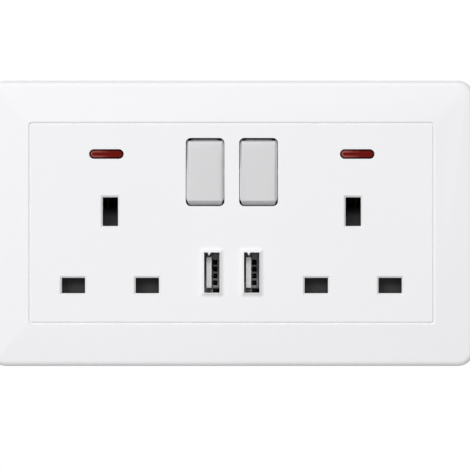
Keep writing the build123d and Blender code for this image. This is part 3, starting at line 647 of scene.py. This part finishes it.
coil_tape = moulded_plastic("coil_tape", (0.6, 0.42, 0.1), 0.4, grain=0.1, drift=0.1)
coil_x, coil_z = -9.0, -2.0
coil_half_x, coil_half_z, coil_corner = 3.38, 1.88, 0.7
wire_pitch, wire_bulge, wire_below, tape_below = 0.42, 0.07, 0.3, 0.12
first_cheek, last_cheek, tape_start, tape_end = 8.3, 18.9, 11, 16
coil_run = np.linspace(7.65, 19.55, 160)
# How far each loop lies below the cheeks: not at all in a cheek, a little under tape,
# and more over bare turns, which bulge by |sin| of the run.
turns_in = wire_below - wire_bulge * np.abs(np.sin(math.pi * coil_run / wire_pitch))
in_cheek = (coil_run < first_cheek) | (coil_run > last_cheek)
in_tape = (coil_run > tape_start) & (coil_run < tape_end)
coil_grow = -np.where(in_cheek, 0.0, np.where(in_tape, tape_below, turns_in))
coil_loops = rounded_loops(coil_half_x + coil_grow, coil_half_z + coil_grow, coil_corner)
add_piece(loop_mesh("wound_coil", loops_at(coil_loops, coil_run, coil_x, coil_z)), coil_tape,
          "socket", "copper_wire", "transformer_winding")


# Capacitors: round aluminium cans in plain dark shrunk sleeves, with a groove rolled in
# near the foot and the sleeve's edge turned over the top. They lie on the board's back.

sleeve_black = moulded_plastic("sleeve_black", (0.03, 0.035, 0.05), 0.3)
board_back = 7.6
can_share = np.array([0.8, 0.93, 0.99, 0.99, 0.95, 0.9, 0.95, 0.99,
                      0.99, 0.96, 0.9, 0.82, 0.78, 0.3])
for can, can_x, can_radius, can_foot, can_top in (("input", 14.6, 2.6, -11.0, -2.0),
                                                  ("output", 0.0, 2.4, -12.0, -5.0)):
    can_reach = np.concatenate([can_foot + np.array([0.0, 0.05, 0.3, 1.0, 1.25, 1.5, 1.75, 2.1]),
                                can_top - np.array([0.45, 0.15, 0.02, 0.0, 0.12, 0.12])])
    rings = turned_rings(can_reach, can_radius * can_share, 36)
    rings = rings + np.array([can_x, board_back + can_radius, 0.0])
    add_piece(loop_mesh("capacitor_can_" + can, rings), sleeve_black, "socket", "capacitor_sleeve",
              "capacitor_" + can)


# Solder joints: small bright hollow-sided cones of tin on the back of the board, round
# the four pins and two shell tabs of each port.

pin_pitch, tab_reach = 2.1, 6.4
cone_rings = turned_rings([0.0, 0.05, 0.2, 0.45, 0.75, 0.95],
                          [0.78, 0.74, 0.5, 0.34, 0.28, 0.12], 20)
feet = [(f"pin_{i}", pin_pitch * (i - 1.5)) for i in range(4)]
feet += [("tab_top", tab_reach), ("tab_bottom", -tab_reach)]
for side, port_x in port_sides:
    for foot, foot_z in feet:
        rings = np.stack([port_x + cone_rings[..., 0], board_back + cone_rings[..., 2],
                          port_z + foot_z + cone_rings[..., 1]], axis=-1)
        add_piece(loop_mesh("solder_" + foot + "_" + side, rings), tinned, "socket", "tinned_wire")


# Floor: a plain pale disc well below the plate, which hangs as on a wall. Its colour is
# lifted a little where the camera sees it, and it keeps the shadow.

def disc_mesh(name, radius, height, rings=6, turns=96):
    """Flat disc: points at r cos t, r sin t for r from near 0 to the radius and t round a
    circle, with a fan of triangles in the middle."""
    r, t = np.meshgrid(np.linspace(radius / rings, radius, rings),
                       np.linspace(0, 2 * math.pi, turns, endpoint=False), indexing="ij")
    points = np.stack([r * np.cos(t), r * np.sin(t), np.full_like(r, height)], axis=-1)
    points = np.vstack([points.reshape(-1, 3), [[0.0, 0.0, height]]])
    i, j = np.meshgrid(np.arange(rings - 1), np.arange(turns), indexing="ij")
    k = (j + 1) % turns
    inside, outside = i * turns, (i + 1) * turns
    quads = np.stack([inside + j, outside + j, outside + k, inside + k], axis=-1)
    j, k = np.arange(turns), (np.arange(turns) + 1) % turns
    inner = np.stack([np.full(turns, rings * turns), j, k], axis=-1)
    mesh = bpy.data.meshes.new(name)
    mesh.from_pydata(points.tolist(), [], quads.reshape(-1, 4).tolist() + inner.tolist())
    return mesh


floor = bpy.data.objects.new("floor", disc_mesh("floor", radius=0.85, height=-0.2))
bpy.context.scene.collection.objects.link(floor)
floor_pale, floor_tree, floor_shader = new_finish("floor_pale")
floor_rays = floor_tree.nodes.new("ShaderNodeLightPath")
set_inputs(floor_shader, {
    "Base Color": (0.85, 0.85, 0.85, 1),
    "Roughness": 0.9,
    "Emission Color": (1, 1, 1, 1),
    "Emission Strength": maths(floor_tree, "MULTIPLY", floor_rays.outputs["Is Camera Ray"], 0.45)})
floor.data.materials.append(floor_pale)


# World: even pale light on the object from all round, and plain white behind it for the
# camera, in gloss and through glass.

world = bpy.data.worlds.new("studio")
bpy.context.scene.world = world
world.use_nodes = True
sky = world.node_tree
sky.nodes.clear()
rays = sky.nodes.new("ShaderNodeLightPath").outputs
seen = maths(sky, "MAXIMUM", rays["Is Camera Ray"], rays["Is Transmission Ray"])
shown = maths(sky, "MAXIMUM", seen, rays["Is Glossy Ray"])
fill = add_node(sky, "ShaderNodeBackground", {"Color": (1, 1, 1, 1), "Strength": 0.24})
white = add_node(sky, "ShaderNodeBackground", {"Color": (1, 1, 1, 1), "Strength": 1.0})
choose = add_node(sky, "ShaderNodeMixShader", {
    "Fac": shown, 1: fill.outputs["Background"], 2: white.outputs["Background"]})
add_node(sky, "ShaderNodeOutputWorld", {"Surface": choose.outputs["Shader"]})


# Lamps: a soft key from the upper left of the viewer, and a second one from above that
# reaches into the pin holes and the USB mouths.

def area_lamp(name, place, size, power):
    """Square soft lamp at a place, turned to face the plate's middle."""
    lamp = bpy.data.lights.new(name, "AREA")
    lamp.shape = "SQUARE"
    lamp.size = size
    lamp.energy = power
    holder = bpy.data.objects.new(name, lamp)
    holder.location = place
    holder.rotation_euler = (-Vector(place)).to_track_quat("-Z", "Y").to_euler()
    bpy.context.scene.collection.objects.link(holder)


area_lamp("key", (-1.0, -1.6, 0.9), size=0.8, power=19.0)
area_lamp("top", (0.1, -1.6, 1.05), size=0.6, power=12.5)


# Camera: square on to the plate, as in the photograph, a touch right of and below
# the plate's centre.

lens = bpy.data.cameras.new("camera")
lens.sensor_width = 36.0
lens.lens = 153.1
viewer = bpy.data.objects.new("camera", lens)
viewer.location = (0.00096, -0.6095, -0.00351)
viewer.rotation_euler = (math.pi / 2, 0, 0)
bpy.context.scene.collection.objects.link(viewer)
bpy.context.scene.camera = viewer
bpy.context.scene.view_settings.view_transform = "Standard"
